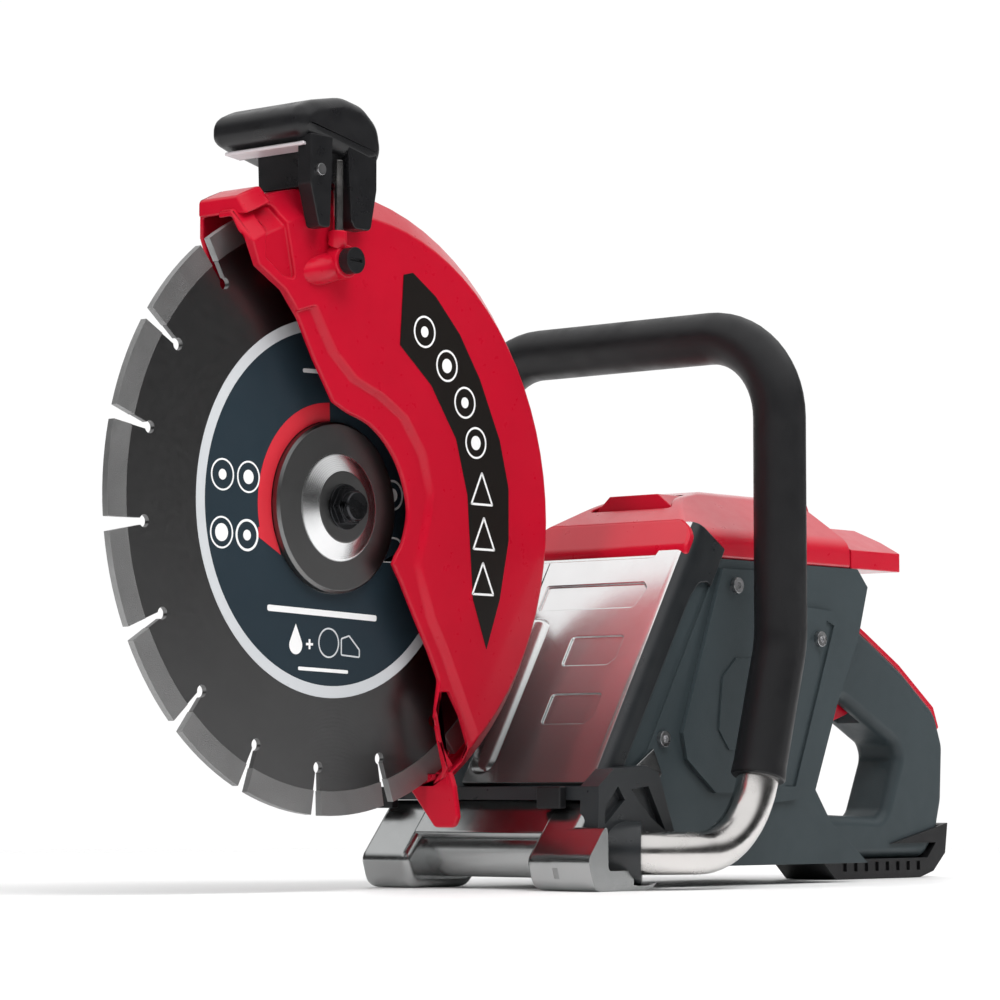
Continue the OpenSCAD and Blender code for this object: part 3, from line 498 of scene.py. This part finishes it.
# ---------- guard ----------
R, Y_NEAR, Y_FAR = 182.4, 20.0, -25.0
LIP_WIDTH = 5.0
hub_arc = smooth_path([(17, 58), (5, 53), (-14, 47), (-30, 35), (-41, 19), (-46, 0), (-42, -17),
                       (-36, -26)], 5)
edge = [(84, 174), (87, 160), (88, 148), (80, 129), (59, 117.5), (46, 103), (33, 81)] + hub_arc \
    + [(-33, -31), (-40, -41), (-52, -61), (-64, -80), (-73, -97), (-69.5, -118), (-73, -132), (-83, -159)]
near_area = fillet([(84, 230)] + edge[:7], 0) + edge[7:] + [(-106, -230), (-240, -230), (-240, 230)]
far_area = [(83, 230), (83, 148), (60, 90), (34, 24), (40, 0), (30, -30), (-20, -60), (-84, -160),
            (-110, -230), (-240, -230), (-240, 230)]


def envelope(name, inset=0.0, steps=144):
    """Outside of the guard, moved in by inset."""
    return lathe(name, [(0, Y_FAR), (R - inset, Y_FAR), (R - inset, 4 - inset * 0.3),
                        (166 - inset * 0.7, Y_NEAR - inset), (0, Y_NEAR - inset)], steps=steps)


shell = envelope("guard_body", steps=76)
cut(shell, lathe("inside", [(0, -22), (179.4, -22), (179.4, 4), (164.2, 17), (0, 17)], steps=76))
region = join(prism("near", near_area, -6, 30), prism("far", far_area, -30, -5.9))
keep(shell, region)
lip_in = []
for i, p in enumerate(edge):
    a, b = Vector(edge[max(i - 1, 0)]), Vector(edge[min(i + 1, len(edge) - 1)])
    t = (b - a).normalized()
    lip_in.append((p[0] + t.y * LIP_WIDTH, p[1] - t.x * LIP_WIDTH))
lip = prism("lip", edge[1:] + lip_in[:0:-1], 14.0, 18.0)
keep(lip, envelope("envelope_lip", 2.0))
join(shell, lip)
# lower strip along the open edge, with a sloped step up to the rest of the near side
ridge = [(38, 110), (22, 86), (4, 71.5), (-18, 64), (-38, 53), (-54, 33), (-61, 10), (-58, -6),
         (-50, -31), (-62, -62), (-74, -81), (-90, -111), (-104, -137), (-114, -156)]
front_side = [(x + 14, z) for x, z in edge[5:]]
slope_side = [(x - 4.2, z + 1.2) for x, z in ridge]
cut(shell, prism("strip", front_side + ridge[::-1], 17.4, 20.3, front_side + slope_side[::-1]))


def sunk(name, outline, depth):
    """Cutter that sinks an outline into the guard's near side, to one depth all over."""
    return cut(prism(name, outline, -3, 32), envelope(name + "_bed", depth))


# recesses near the mouth and in the tail
POCKET = [(74.5, 161), (61, 167), (52.5, 131), (51.5, 124.5), (60, 125), (75, 134)]
pad = keep(prism("pocket_pad", offset(POCKET, -3), 4, 32), envelope("pad_top", 2.2))
join(shell, cut(pad, envelope("pad_bottom", 5.2)))
cut(shell, sunk("pocket_top", fillet(POCKET, 2.0), 2.8))
TAIL_POCKET = [(-74, -104), (-69.8, -120), (-74, -133), (-90, -151), (-101, -143), (-90, -117),
               (-80, -103)]
cut(shell, sunk("pocket_tail", fillet(TAIL_POCKET, 1.5), 4.4))
# water valve's boss, with a rounded bridge towards the front and the tube's seat beside it
VALVE = (18, 137)
boss = lathe("valve_boss", [(0, 17.5), (10.2, 17.5), (9.6, 27.6), (9.0, 28.2), (0, 28.2)], VALVE, 48)
cut(boss, rod("valve_bore", 3.05, 10, 40, VALVE, 32))
bridge = tube("valve_bridge", smooth_path([(20, 18, 135), (33, 17.8, 131), (45, 14.5, 127.5)], 5),
              [8.8, 8.8, 8.8, 8.8, 8.7, 8.6, 8.3, 7.8, 7.0, 6.0, 4.5], 36)
collar = tube("tube_seat", [(22.6, 24, 145.6), (23, 25.2, 148), (23, 25.2, 153.4), (23, 25.2, 154)],
              [5.0, 5.4, 5.2, 4.6], 28)
cut(collar, tube("tube_bore", [(23, 25.4, 150), (23, 25.4, 160)], 3.02, 28))
for o in (boss, bridge, collar):
    piece(o, "red_paint", "guard", (), round_mm=0.5, angle=40)
# raised bead round the mouth
bead = lathe("mouth_bead", [(180, -25), (187.3, -25), (188.5, -23.8), (188.5, 5.5), (169, 22),
                            (165, 19.2), (180, 4.5)], steps=152)
keep(bead, prism("bead_area", [(64, 167), (71, 230), (84, 230), (84, 158)], -30, 30))
piece(bead, "red_paint", "guard", (), round_mm=1.6, angle=24)
# hub plate on the far side, tail flap, and the engraved arrow
join(shell, rod("hub", 38, -27, -21.9, steps=72))
cut(shell, rod("hub_bore", 30.05, -40, 0, steps=72))
flap_line = [(-20, -150), (17, -150), (20, -158), (23, -176), (20, -182), (5, -182), (-14, -160)]
flap = prism("flap", fillet(flap_line, [0.5, 1, 3, 3, 5, 5, 4]), -86, -82, plane="YZ")
cut(flap, rod("flap_gap", 177, -9, 5, steps=96))
join(shell, flap)
cut(shell, prism("arrow", [(26, 110), (24.6, 110.6), (11, 101.8), (-3, 105.9), (-3, 107.3),
                           (11.3, 103.2)], 19.4, 21))
piece(shell, "red_paint", "guard", ["guard_shell"], round_mm=1.3, angle=24)

# ---------- label on the guard: plain rings and triangles ----------
FILM_Y = 20.4
for k, c in enumerate([(-56, 104.5), (-75.5, 86.3), (-91.4, 66), (-101.2, 43)]):
    outline_ring(f"guard_ring_{k}", circle(c, 9.4), 1.2, FILM_Y, "print", "guard")
    patch(f"guard_dot_{k}", circle(c, 4.2 if k % 2 else 3.2, 28), FILM_Y, "print", "guard")
for k, c in enumerate([(-106.6, 14.6), (-108.4, -11.8), (-107.6, -38.3)]):
    tri = fillet([(c[0], c[1] + 12.5), (c[0] + 10.4, c[1] - 8.2), (c[0] - 10.4, c[1] - 8.2)], 1.0, 3)
    outline_ring(f"guard_triangle_{k}", tri, 1.3, FILM_Y, "print", "guard")

# ---------- blade label: coloured rings and plain marks ----------
LABEL_Y, MARK_Y = -0.58, -0.46             # face under the label, and under the marks on it


def band(name, r0, r1, look):
    """Whole ring of the label."""
    profile = [(r0, LABEL_Y), (r1, LABEL_Y), (r1, MARK_Y), (r0, MARK_Y)]
    return piece(lathe(name, profile, steps=120), look, "blade", round_mm=0)


def mark(name, outline, look="print", lift=0.12):
    return patch(name, outline, MARK_Y, look, "blade", lift)


def mark_line(name, outline, width, look="print"):
    return outline_ring(name, outline, width, MARK_Y, look, "blade")


band("label_field", 49.3, 101.5, "navy")
band("label_edge", 101.5, 108.3, "ring")
mark("label_arc", circle((0, 0), 60.0, 60, -18, 88) + circle((0, 0), 49.4, 60, -18, 88)[::-1], "print_red")
mark("label_arrow", [(59.5, -14), (59.5, -19.5), (41.4, -28.8), (48, -13)], "print_red", 0.13)
for k, c in enumerate([(87.9, 13.6), (67.5, 13.4), (88.4, -18.5), (68.4, -19.1), (-51.6, 10.3)]):
    mark_line(f"label_ring_{k}", circle(c, 9.0), 1.0 if k < 3 else 1.4)
    mark(f"label_dot_{k}", circle(c, 3.0 + (k % 3), 28))
mark_line("label_arch", fillet([(-60, -29), (-60, -14), (-43, -14), (-43, -29)], [1, 8, 8, 1]), 1.1)
mark("label_drop", [(29, -67)] + circle((29, -79), 5.2, 26, 30, -210))
mark("label_plus_a", [(20.6, -78.9), (15.0, -78.9), (15.0, -77.5), (20.6, -77.5)])
mark("label_plus_b", [(17.1, -81), (18.5, -81), (18.5, -75.4), (17.1, -75.4)], lift=0.13)
mark_line("label_wheel", circle((2, -77), 8.6), 0.9, "ring")
mark_line("label_block", fillet([(-8, -84), (-8, -74), (-15, -72), (-24, -80), (-24, -85)], 1.5, 3), 0.9,
          "ring")
mark("label_bar_wide", fillet([(52, -57), (52, -60.5), (-38, -63.5), (-38, -60)], 1.4, 3))
mark("label_bar_low", fillet([(27, -91), (27, -93), (-14, -94.2), (-14, -92.2)], 0.8, 3))
mark("label_bar_top", fillet([(24, 78), (24, 75.6), (-14, 76.6), (-14, 79)], 1.0, 3))

# ---------- flange, with its cone painted brighter as a painted highlight ---
flange = lathe("flange_disc", [(8.05, 1), (32, 1), (34, -0.6), (48.4, -0.6), (49, 0), (49, 3.4), (47.5, 5),
                               (31, 5.2), (29.6, 5.7), (20.6, 9.4), (19.8, 9.6), (8.05, 9.6)], steps=128)
piece(flange, "flange", "blade", ["outer_flange"], round_mm=0.2)
# painted highlight: the cone's faces take the brighter copy of the flange steel
flange.data.materials.append(M["flange_painted_highlight"])
for f in flange.data.polygons:
    r = math.hypot(f.center.x - SX, f.center.z - SZ) / MM
    if 20.2 < r < 30.5 and f.center.y > 5.3 * MM:
        f.material_index = 1

# ---------- guard handle: grip, saddle and two legs ----------
GRIP = [(58, 206), (58, 220), (44, 226.4), (20, 231), (4, 228), (-9, 218), (-12, 204), (-9, 195), (1, 192.2),
        (14, 195), (46, 202.2)]
LEG_FRONT = [(50, 206), (50, 178), (43, 154), (34, 154), (32, 206)]
LEG_BACK = [(19, 204), (16, 160), (13, 156), (0, 156), (-5, 180), (-5, 200), (0, 204)]
head = layered("guard_grip", fillet(GRIP, [9, 10, 30, 24, 18, 16, 14, 10, 10, 30, 12], 8), rim(-44, 30, 8.5))
piece(head, "black", "guard", ["guard_handle"], round_mm=0)
saddle = prism("saddle", fillet([(38, 204), (36.5, 168), (-8, 168), (-8, 204)], 2), -24, 24)
cut(saddle, rod("seat", R + 0.2, -30, 30, steps=96))
leg_front = prism("leg_front", fillet(LEG_FRONT, [1, 8, 3, 3, 1]), 19.5, 30)
leg_back = prism("leg_back", fillet(LEG_BACK, [1, 3, 3, 4, 8, 3, 1]), 19.5, 29.5)
for o in (saddle, leg_front, leg_back):
    piece(o, "black", "guard", (), round_mm=1.4, angle=38, clamp=True)
pad = prism("grip_pad", fillet([(52, 201.6), (52, 199.9), (40, 198.6), (40, 200.2)], 0.4, 3), -36, 26)
piece(pad, "insert", "guard", ["guard_handle_insert"], round_mm=0.5)

# ---------- front handle ----------
def arc3(c, r, a0, a1, plane, steps=14):
    """Points of an arc about c, from a0 to a1 in degrees, in the YZ, XZ or XY plane."""
    out = []
    for k in range(steps + 1):
        a = math.radians(a0 + (a1 - a0) * k / steps)
        u, v = r * math.cos(a), r * math.sin(a)
        out.append({"YZ": (c[0], c[1] + u, c[2] + v), "XZ": (c[0] + u, c[1], c[2] + v),
                    "XY": (c[0] + u, c[1] + v, c[2])}[plane])
    return out


HX, HALF, BAR = -266, 120, 116             # the bail's X, half its width, and the height of its bar
TUBE_R, GRIP_R, GRIP_END_R = 12.5, 16.0, 16.5
TOP_BEND, SLOPE_BEND, LOW_BEND, SIDE_BEND, RIGHT_BEND = 52, 70, 60, 36, 43
LEAN_X, LEAN_Z = 0.28, -0.96               # direction of the sloped lower length
SOCKET_X, SOCKET_Y = 0.6, -0.8             # direction of the length in the socket
lean = math.degrees(math.asin(LEAN_X))
low_c = (-184.6, HALF, -136.8)
top = BAR - TOP_BEND
grip = ([(HX, -HALF, 18), (HX, -HALF, 19.5), (HX, -HALF, 40)]
        + arc3((HX, TOP_BEND - HALF, top), TOP_BEND, 180, 90, "YZ")
        + arc3((HX, HALF - TOP_BEND, top), TOP_BEND, 90, 0, "YZ") + [(HX, HALF, 30), (HX, HALF, -30)]
        + arc3((HX + SLOPE_BEND, HALF, -62), SLOPE_BEND, 180, 180 + lean, "XZ", 8))
end = grip[-1]
grip += [(end[0] + LEAN_X * s, HALF, end[2] + LEAN_Z * s) for s in (20, 50, 66, 72, 73.6, 74.6)]
radii = [GRIP_R, GRIP_END_R] + [GRIP_R] * (len(grip) - 5) + [GRIP_END_R, GRIP_END_R, 15.6]
piece(tube("handle_grip", grip, radii, 40), "rubber", "machine", ["front_handle_grip"],
      round_mm=0)
corner = arc3((low_c[0], HALF - SIDE_BEND, low_c[2] - LOW_BEND), SIDE_BEND, 90, 36.87, "XY", 12)
tail = corner[-1]
lower = ([(end[0] + LEAN_X * 60, HALF, end[2] + LEAN_Z * 60)]
         + arc3(low_c, LOW_BEND, 180 + lean, 270, "XZ", 18) + corner[1:]
         + [(tail[0] + SOCKET_X * s, tail[1] + SOCKET_Y * s, tail[2]) for s in (8, 16, 25.5)])
right = ([(HX, -HALF, 22), (HX, -HALF, 18)]
         + arc3((HX, RIGHT_BEND - HALF, 18), RIGHT_BEND, 180, 270, "YZ", 14) + [(HX, -46.2, -25)])
lower = tube("handle_tube", lower, TUBE_R, 40)
right = tube("handle_tube_right", right, TUBE_R, 40)
piece(lower, "tube", "machine", ["front_handle_tube"], round_mm=0)
piece(right, "tube", "machine", (), round_mm=0)

# ---------- shield ----------
S_TOP, S_LEN = Vector((-236, 2)), 185.4    # top of the shield's line in X and Z, and its length
S_DIR = Vector((97, -158)).normalized()
S_OUT = Vector((-S_DIR.y, S_DIR.x))
WRAP_Y = 76                                # beyond this Y the plate's edge is dark


def on_shield(s, d):
    """X and Z of the point s down the shield's line and d behind it."""
    return S_TOP + S_DIR * s - S_OUT * d


def on_plate(y, s, d):
    q = on_shield(s, d)
    return at(q.x, y, q.y)


def slanted(name, outline, s0, s1):
    """Solid of an outline in Y and depth behind the shield's line, from s0 to s1 down that line."""
    return skin(name, [[on_plate(y, s, d) for y, d in outline] for s in (s0, s1)])


def sunk_in_shield(name, outline, depth=1.6):
    """Cutter for an outline in Y and s on the shield's face."""
    return skin(name, [[on_plate(y, s, d) for y, s in outline] for d in (-2, depth)])


corner = fillet([(-24, 0), (81.5, 0), (81.5, 31), (78.6, 31), (78.6, 3), (-24, 3)], [0, 9, 1, 1, 6, 0], 8)
shield = slanted("shield", corner, 0, S_LEN)
join(shield, slanted("shield_top", [(-44, 0), (-23, 0), (-23, 3), (-44, 3)], 0, 52))
GROOVES = {"groove_a": [(-60, 8), (58, 8), (62, 12), (57, 25.5), (-60, 25.5)],
           "groove_b": [(-18, 44), (57, 44), (61, 48), (56, 61.5), (-18, 61.5)]}
RECESSES = {"recess_a": [(18, 82), (57.5, 82), (57.5, 98), (53, 102.5), (18, 102.5)],
            "recess_b": [(20, 123), (57.7, 123), (57.7, 139), (53, 144), (20, 144)]}
for name, outline in GROOVES.items():
    cut(shield, sunk_in_shield(name, fillet(outline, [1, 3, 3, 3, 1])))
for name, outline in RECESSES.items():
    cut(shield, sunk_in_shield(name, fillet(outline, 2.5)))
cut(shield, prism("foot_trim", [(-300, -131), (-192, -131), (-150, -157.5), (-100, -157.5), (-100, -230),
                                (-300, -230)], -60, 90),
    prism("top_trim", [(-300, 2), (-200, 2), (-200, 40), (-300, 40)], -60, 90))
hook = [tuple(on_shield(s, d)) for s, d in
        ((27, 40), (27, 27), (32, 20), (44, 17), (150, 16), (190, 16), (190, 40))]
cut(shield, prism("hook", fillet(hook, [0, 3, 6, 20, 0, 0, 0]), 77, 90))
piece(shield, "chrome", "machine", ["front_shield"], round_mm=0.9, angle=26)
shield.data.materials.append(M["slate_dark"])
for f in shield.data.polygons:
    if f.center.y > WRAP_Y * MM:
        f.material_index = 1
# round rib down the plate, given as (distance down the shield, radius)
RIB = [(67.2, 5.6), (68.2, 7.6), (70.5, 10.0), (74, 11.6), (120, 11.6), (170, 11.6), (175, 10.4), (178, 8.0),
       (180, 5.6)]
RIB_Y, RIB_DEPTH = -13.5, 6.3
rib_line = [on_shield(s, RIB_DEPTH) for s, _ in RIB]
rib = tube("shield_rib", [(q.x, RIB_Y, q.y) for q in rib_line], [r for _, r in RIB], 44)
cut(rib, slanted("rib_back", [(-40, 3.2), (20, 3.2), (20, 30), (-40, 30)], 40, 200))
piece(rib, "chrome", "machine", (), round_mm=0)

# ---------- front skid: two feet, a wing on the left one, and a roll between them ----------
FOOT = [(-128, -166.2), (-100, -200), (-106, -218), (-158, -218), (-170, -206.5), (-170, -166.2)]
WING = [(-118, -178), (-100, -200), (-106, -218), (-158, -218), (-170, -206.5), (-118.5, -206.5)]
APRON = [(-128, -166.2), (-112, -185.6), (-116, -188.5), (-134, -170)]
WEB = [(-142, -166.2), (-130, -178), (-134, -200), (-160, -206), (-170, -200), (-170, -166.2)]
BODY = [(-221, -20), (-139.2, -158), (-172, -206), (-412, -206), (-403, -20)]
ARM_ROOM = [(-122, -150), (-119.8, -200), (-125.9, -206.2), (-176, -206.2), (-198, -198), (-178, -150)]
HOLE_R = 4.25
foot = fillet(FOOT, [8, 9, 10, 10, 8, 10], 6)
foot_right = layered("skid_right", foot, rim(-72, -34, 5, 5))
foot_left = layered("skid_left", foot, rim(58, 87, 5, 5))
wing = prism("skid_wing", fillet(WING, [3, 8, 9, 10, 3, 3], 6), 78, 106)
apron = prism("skid_apron", fillet(APRON, [1, 2, 2, 1]), -38, 62)
roll = lathe("skid_roll", [(0, -36), (17, -36), (17, 60), (0, 60)], (-134, -194.5), 64)
web = prism("skid_web", WEB, -36, 60)
for o in (foot_right, foot_left, wing, apron, roll, web):
    cut(o, prism("body_room", BODY, -46, 80.02))
for o, y in ((foot_right, -53), (foot_left, 70)):
    cut(o, tube("foot_hole", [(-150, y, -222), (-150, y, -194)], HOLE_R, 32))
cut(wing, tube("socket_room", [(-175, 84.2, -196.8), (-145, 110, -196.8)], 18.7, 40),
    prism("arm_room", ARM_ROOM, 70, 96.1))
for o, round_mm in ((foot_right, 0), (foot_left, 0), (wing, 3.0), (apron, 1.2), (roll, 1.2), (web, 1.2)):
    piece(o, "cast", "machine", ["front_skid"] if o == foot_right else (),
          round_mm=round_mm, angle=40, clamp=True)

# ---------- top cover ----------
ACROSS = [(-44, -20), (-44, -2), (-6, 26), (36, 26), (80, -4), (80, -20)]
ALONG = [(-221.1, -19.9), (-235.2, 3), (-262, 19), (-300, 26), (-392, 26), (-396, 20), (-396, -19.9)]
BAY = [(-33, -22), (-33, -2), (-4, 22.5), (34, 22.5), (67, -2), (67, -22)]
cover = prism("cover", fillet(ACROSS, [0, 10, 18, 26, 14, 0], 8), -420, -225, plane="YZ")
keep(cover, prism("cover_side", fillet(ALONG, [0, 6, 60, 60, 4, 3, 0], 8), -60, 90))
cut(cover, prism("bay", BAY, -400, -252, plane="YZ"))
piece(cover, "red_plastic", "machine", ["top_cover"], round_mm=2.2, angle=22)

# ---------- rear handle ----------
LOOP = [(-380, -30), (-404, -31), (-430, -34), (-485, -61), (-522, -81), (-561, -108), (-570, -130),
        (-568, -167), (-561, -190), (-546, -205), (-400, -205), (-352, -180), (-338, -160), (-363, -104),
        (-384, -65)]
LOOP_HOLE = [(-441, -108), (-452, -101), (-512, -130), (-516, -138), (-500, -173), (-494, -178),
             (-436, -176), (-421, -162)]
LOOP_Y, LOOP_ROUND = (-3, 33), 7
loop = layered("loop", fillet(LOOP, [8, 14, 14, 30, 30, 22, 18, 24, 14, 14, 8, 8, 8, 8, 8], 6),
               rim(*LOOP_Y, LOOP_ROUND))
cut(loop, layered("loop_hole", fillet(LOOP_HOLE, [8, 8, 9, 9, 8, 9, 12, 12], 6), flare(*LOOP_Y, LOOP_ROUND)))
cut(loop, prism("trigger_slot", [(-432, -78), (-480, -99), (-486, -135), (-430, -135)], 6, 24))
cut(loop, prism("lever_slot", [(-443, -22), (-443, -52), (-487, -76), (-487, -36)], 7, 23))
piece(loop, "slate", "machine", ["rear_handle_left", "rear_handle_right"],
      round_mm=0.5, angle=40)

# ---------- springs ----------------------------------------------
def spring(name, foot_at, r, wire, turns, length, body, node):
    """Coil that stands on foot_at."""
    x, y, z = foot_at
    n = 16 * turns
    path = [(x + r * math.cos(k * math.pi / 8), y + r * math.sin(k * math.pi / 8),
             z + wire + (length - 2 * wire) * k / n) for k in range(n + 1)]
    o = piece(tube(name, path, wire, 10), "plain_steel", body, [node], round_mm=0)
    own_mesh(o)


spring("return_spring", (-458, 15, -84.9), 3.4, 0.5, 7, 26.3, "machine", "trigger_spring")
spring("catch_spring", (-417.7, 15, -3.9), 6, 0.35, 2, 3.2, "battery", "latch_spring")

# ---------- camera, floor, light ----------
scene = bpy.context.scene
scene.view_settings.view_transform = "Standard"
cam = bpy.data.objects.new("camera", bpy.data.cameras.new("camera"))
scene.collection.objects.link(cam)
cam.data.lens = 135
cam.data.sensor_width = 36
yaw, pitch = math.radians(49.315), math.radians(4.463)
look = Vector((-math.sin(yaw) * math.cos(pitch), -math.cos(yaw) * math.cos(pitch), math.sin(pitch)))
cam.location = (1.7508, 1.4613, 0.0562)
cam.rotation_mode = "QUATERNION"
cam.rotation_quaternion = look.to_track_quat("-Z", "Y")
scene.camera = cam

FLOOR_R, FADE_FROM, FADE_TO = 2.2, 0.5, 1.9     # the floor fades out into the white backdrop
floor = bpy.data.objects.new("floor", bpy.data.meshes.new("floor"))
scene.collection.objects.link(floor)
bm = bmesh.new()
bmesh.ops.create_circle(bm, cap_ends=True, segments=96, radius=FLOOR_R)
bm.to_mesh(floor.data)
bm.free()
floor.location.z = -0.0002
floor_look = material("floor_white", (0.93, 0.93, 0.93), 0.5, vary=0.004, rough_vary=0.01)
nt = floor_look.node_tree
out = next(n for n in nt.nodes if n.type == "OUTPUT_MATERIAL")
paint = next(n for n in nt.nodes if n.type == "BSDF_PRINCIPLED")
tc = nt.nodes.new("ShaderNodeTexCoord")
far = nt.nodes.new("ShaderNodeVectorMath")
far.operation = "LENGTH"
nt.links.new(tc.outputs["Object"], far.inputs[0])
fade = nt.nodes.new("ShaderNodeMapRange")
fade.interpolation_type = "SMOOTHSTEP"
fade.inputs["From Min"].default_value = FADE_FROM
fade.inputs["From Max"].default_value = FADE_TO
nt.links.new(far.outputs["Value"], fade.inputs["Value"])
clear = nt.nodes.new("ShaderNodeBsdfTransparent")
mix = nt.nodes.new("ShaderNodeMixShader")
nt.links.new(fade.outputs["Result"], mix.inputs["Fac"])
nt.links.new(paint.outputs[0], mix.inputs[1])
nt.links.new(clear.outputs[0], mix.inputs[2])
nt.links.new(mix.outputs[0], out.inputs[0])
floor.data.materials.append(floor_look)

DARK_LEVEL, WHITE_LEVEL = 0.035, 1.02
world = bpy.data.worlds.new("studio")
scene.world = world
world.use_nodes = True
nt = world.node_tree
nt.nodes.clear()
new = nt.nodes.new
wout = new("ShaderNodeOutputWorld")
bg = new("ShaderNodeBackground")
nt.links.new(bg.outputs[0], wout.inputs[0])
tc = new("ShaderNodeTexCoord")
axes = new("ShaderNodeSeparateXYZ")
nt.links.new(tc.outputs["Generated"], axes.inputs[0])
dot = new("ShaderNodeVectorMath")
dot.operation = "DOT_PRODUCT"
dot.inputs[1].default_value = look
nt.links.new(tc.outputs["Generated"], dot.inputs[0])


def step(value, low, high):
    """1 where value is past high, 0 before low."""
    n = new("ShaderNodeMapRange")
    n.interpolation_type = "SMOOTHSTEP"
    n.inputs["From Min"].default_value = low
    n.inputs["From Max"].default_value = high
    nt.links.new(value, n.inputs["Value"])
    return n.outputs["Result"]


def most(a, b):
    n = new("ShaderNodeMath")
    n.operation = "MAXIMUM"
    nt.links.new(a, n.inputs[0])
    nt.links.new(b, n.inputs[1])
    return n.outputs[0]


# what the object reflects: white above, below and behind it, and a dark band all round the rest
white = most(most(step(axes.outputs["Z"], 0.32, 0.66), step(dot.outputs["Value"], 0.80, 0.95)),
             step(axes.outputs["Z"], 0.0, -0.06))
white = most(white, new("ShaderNodeLightPath").outputs["Is Camera Ray"])     # the backdrop is all white
level = new("ShaderNodeMapRange")
level.inputs["To Min"].default_value = DARK_LEVEL
level.inputs["To Max"].default_value = WHITE_LEVEL
nt.links.new(white, level.inputs["Value"])
nt.links.new(level.outputs["Result"], bg.inputs["Color"])
bg.inputs["Strength"].default_value = 1.0


def softbox(name, place, aim, width, height, power):
    """Area light that polished parts don't mirror."""
    data = bpy.data.lights.new(name, "AREA")
    data.shape = "RECTANGLE"
    data.size, data.size_y = width, height
    data.energy = power
    o = bpy.data.objects.new(name, data)
    scene.collection.objects.link(o)
    o.location = place
    o.visible_glossy = False
    o.rotation_mode = "QUATERNION"
    o.rotation_quaternion = (Vector(aim) - Vector(place)).to_track_quat("-Z", "Y")


softbox("key", (0.4, 1.2, 1.9), (0, 0, 0.2), 1.4, 1.0, 26)
softbox("side", (2.2, 0.1, 0.9), (0.1, 0, 0.2), 0.5, 1.6, 20)
softbox("rim", (-1.7, 0.9, 0.9), (-0.1, 0, 0.15), 0.5, 1.3, 16)
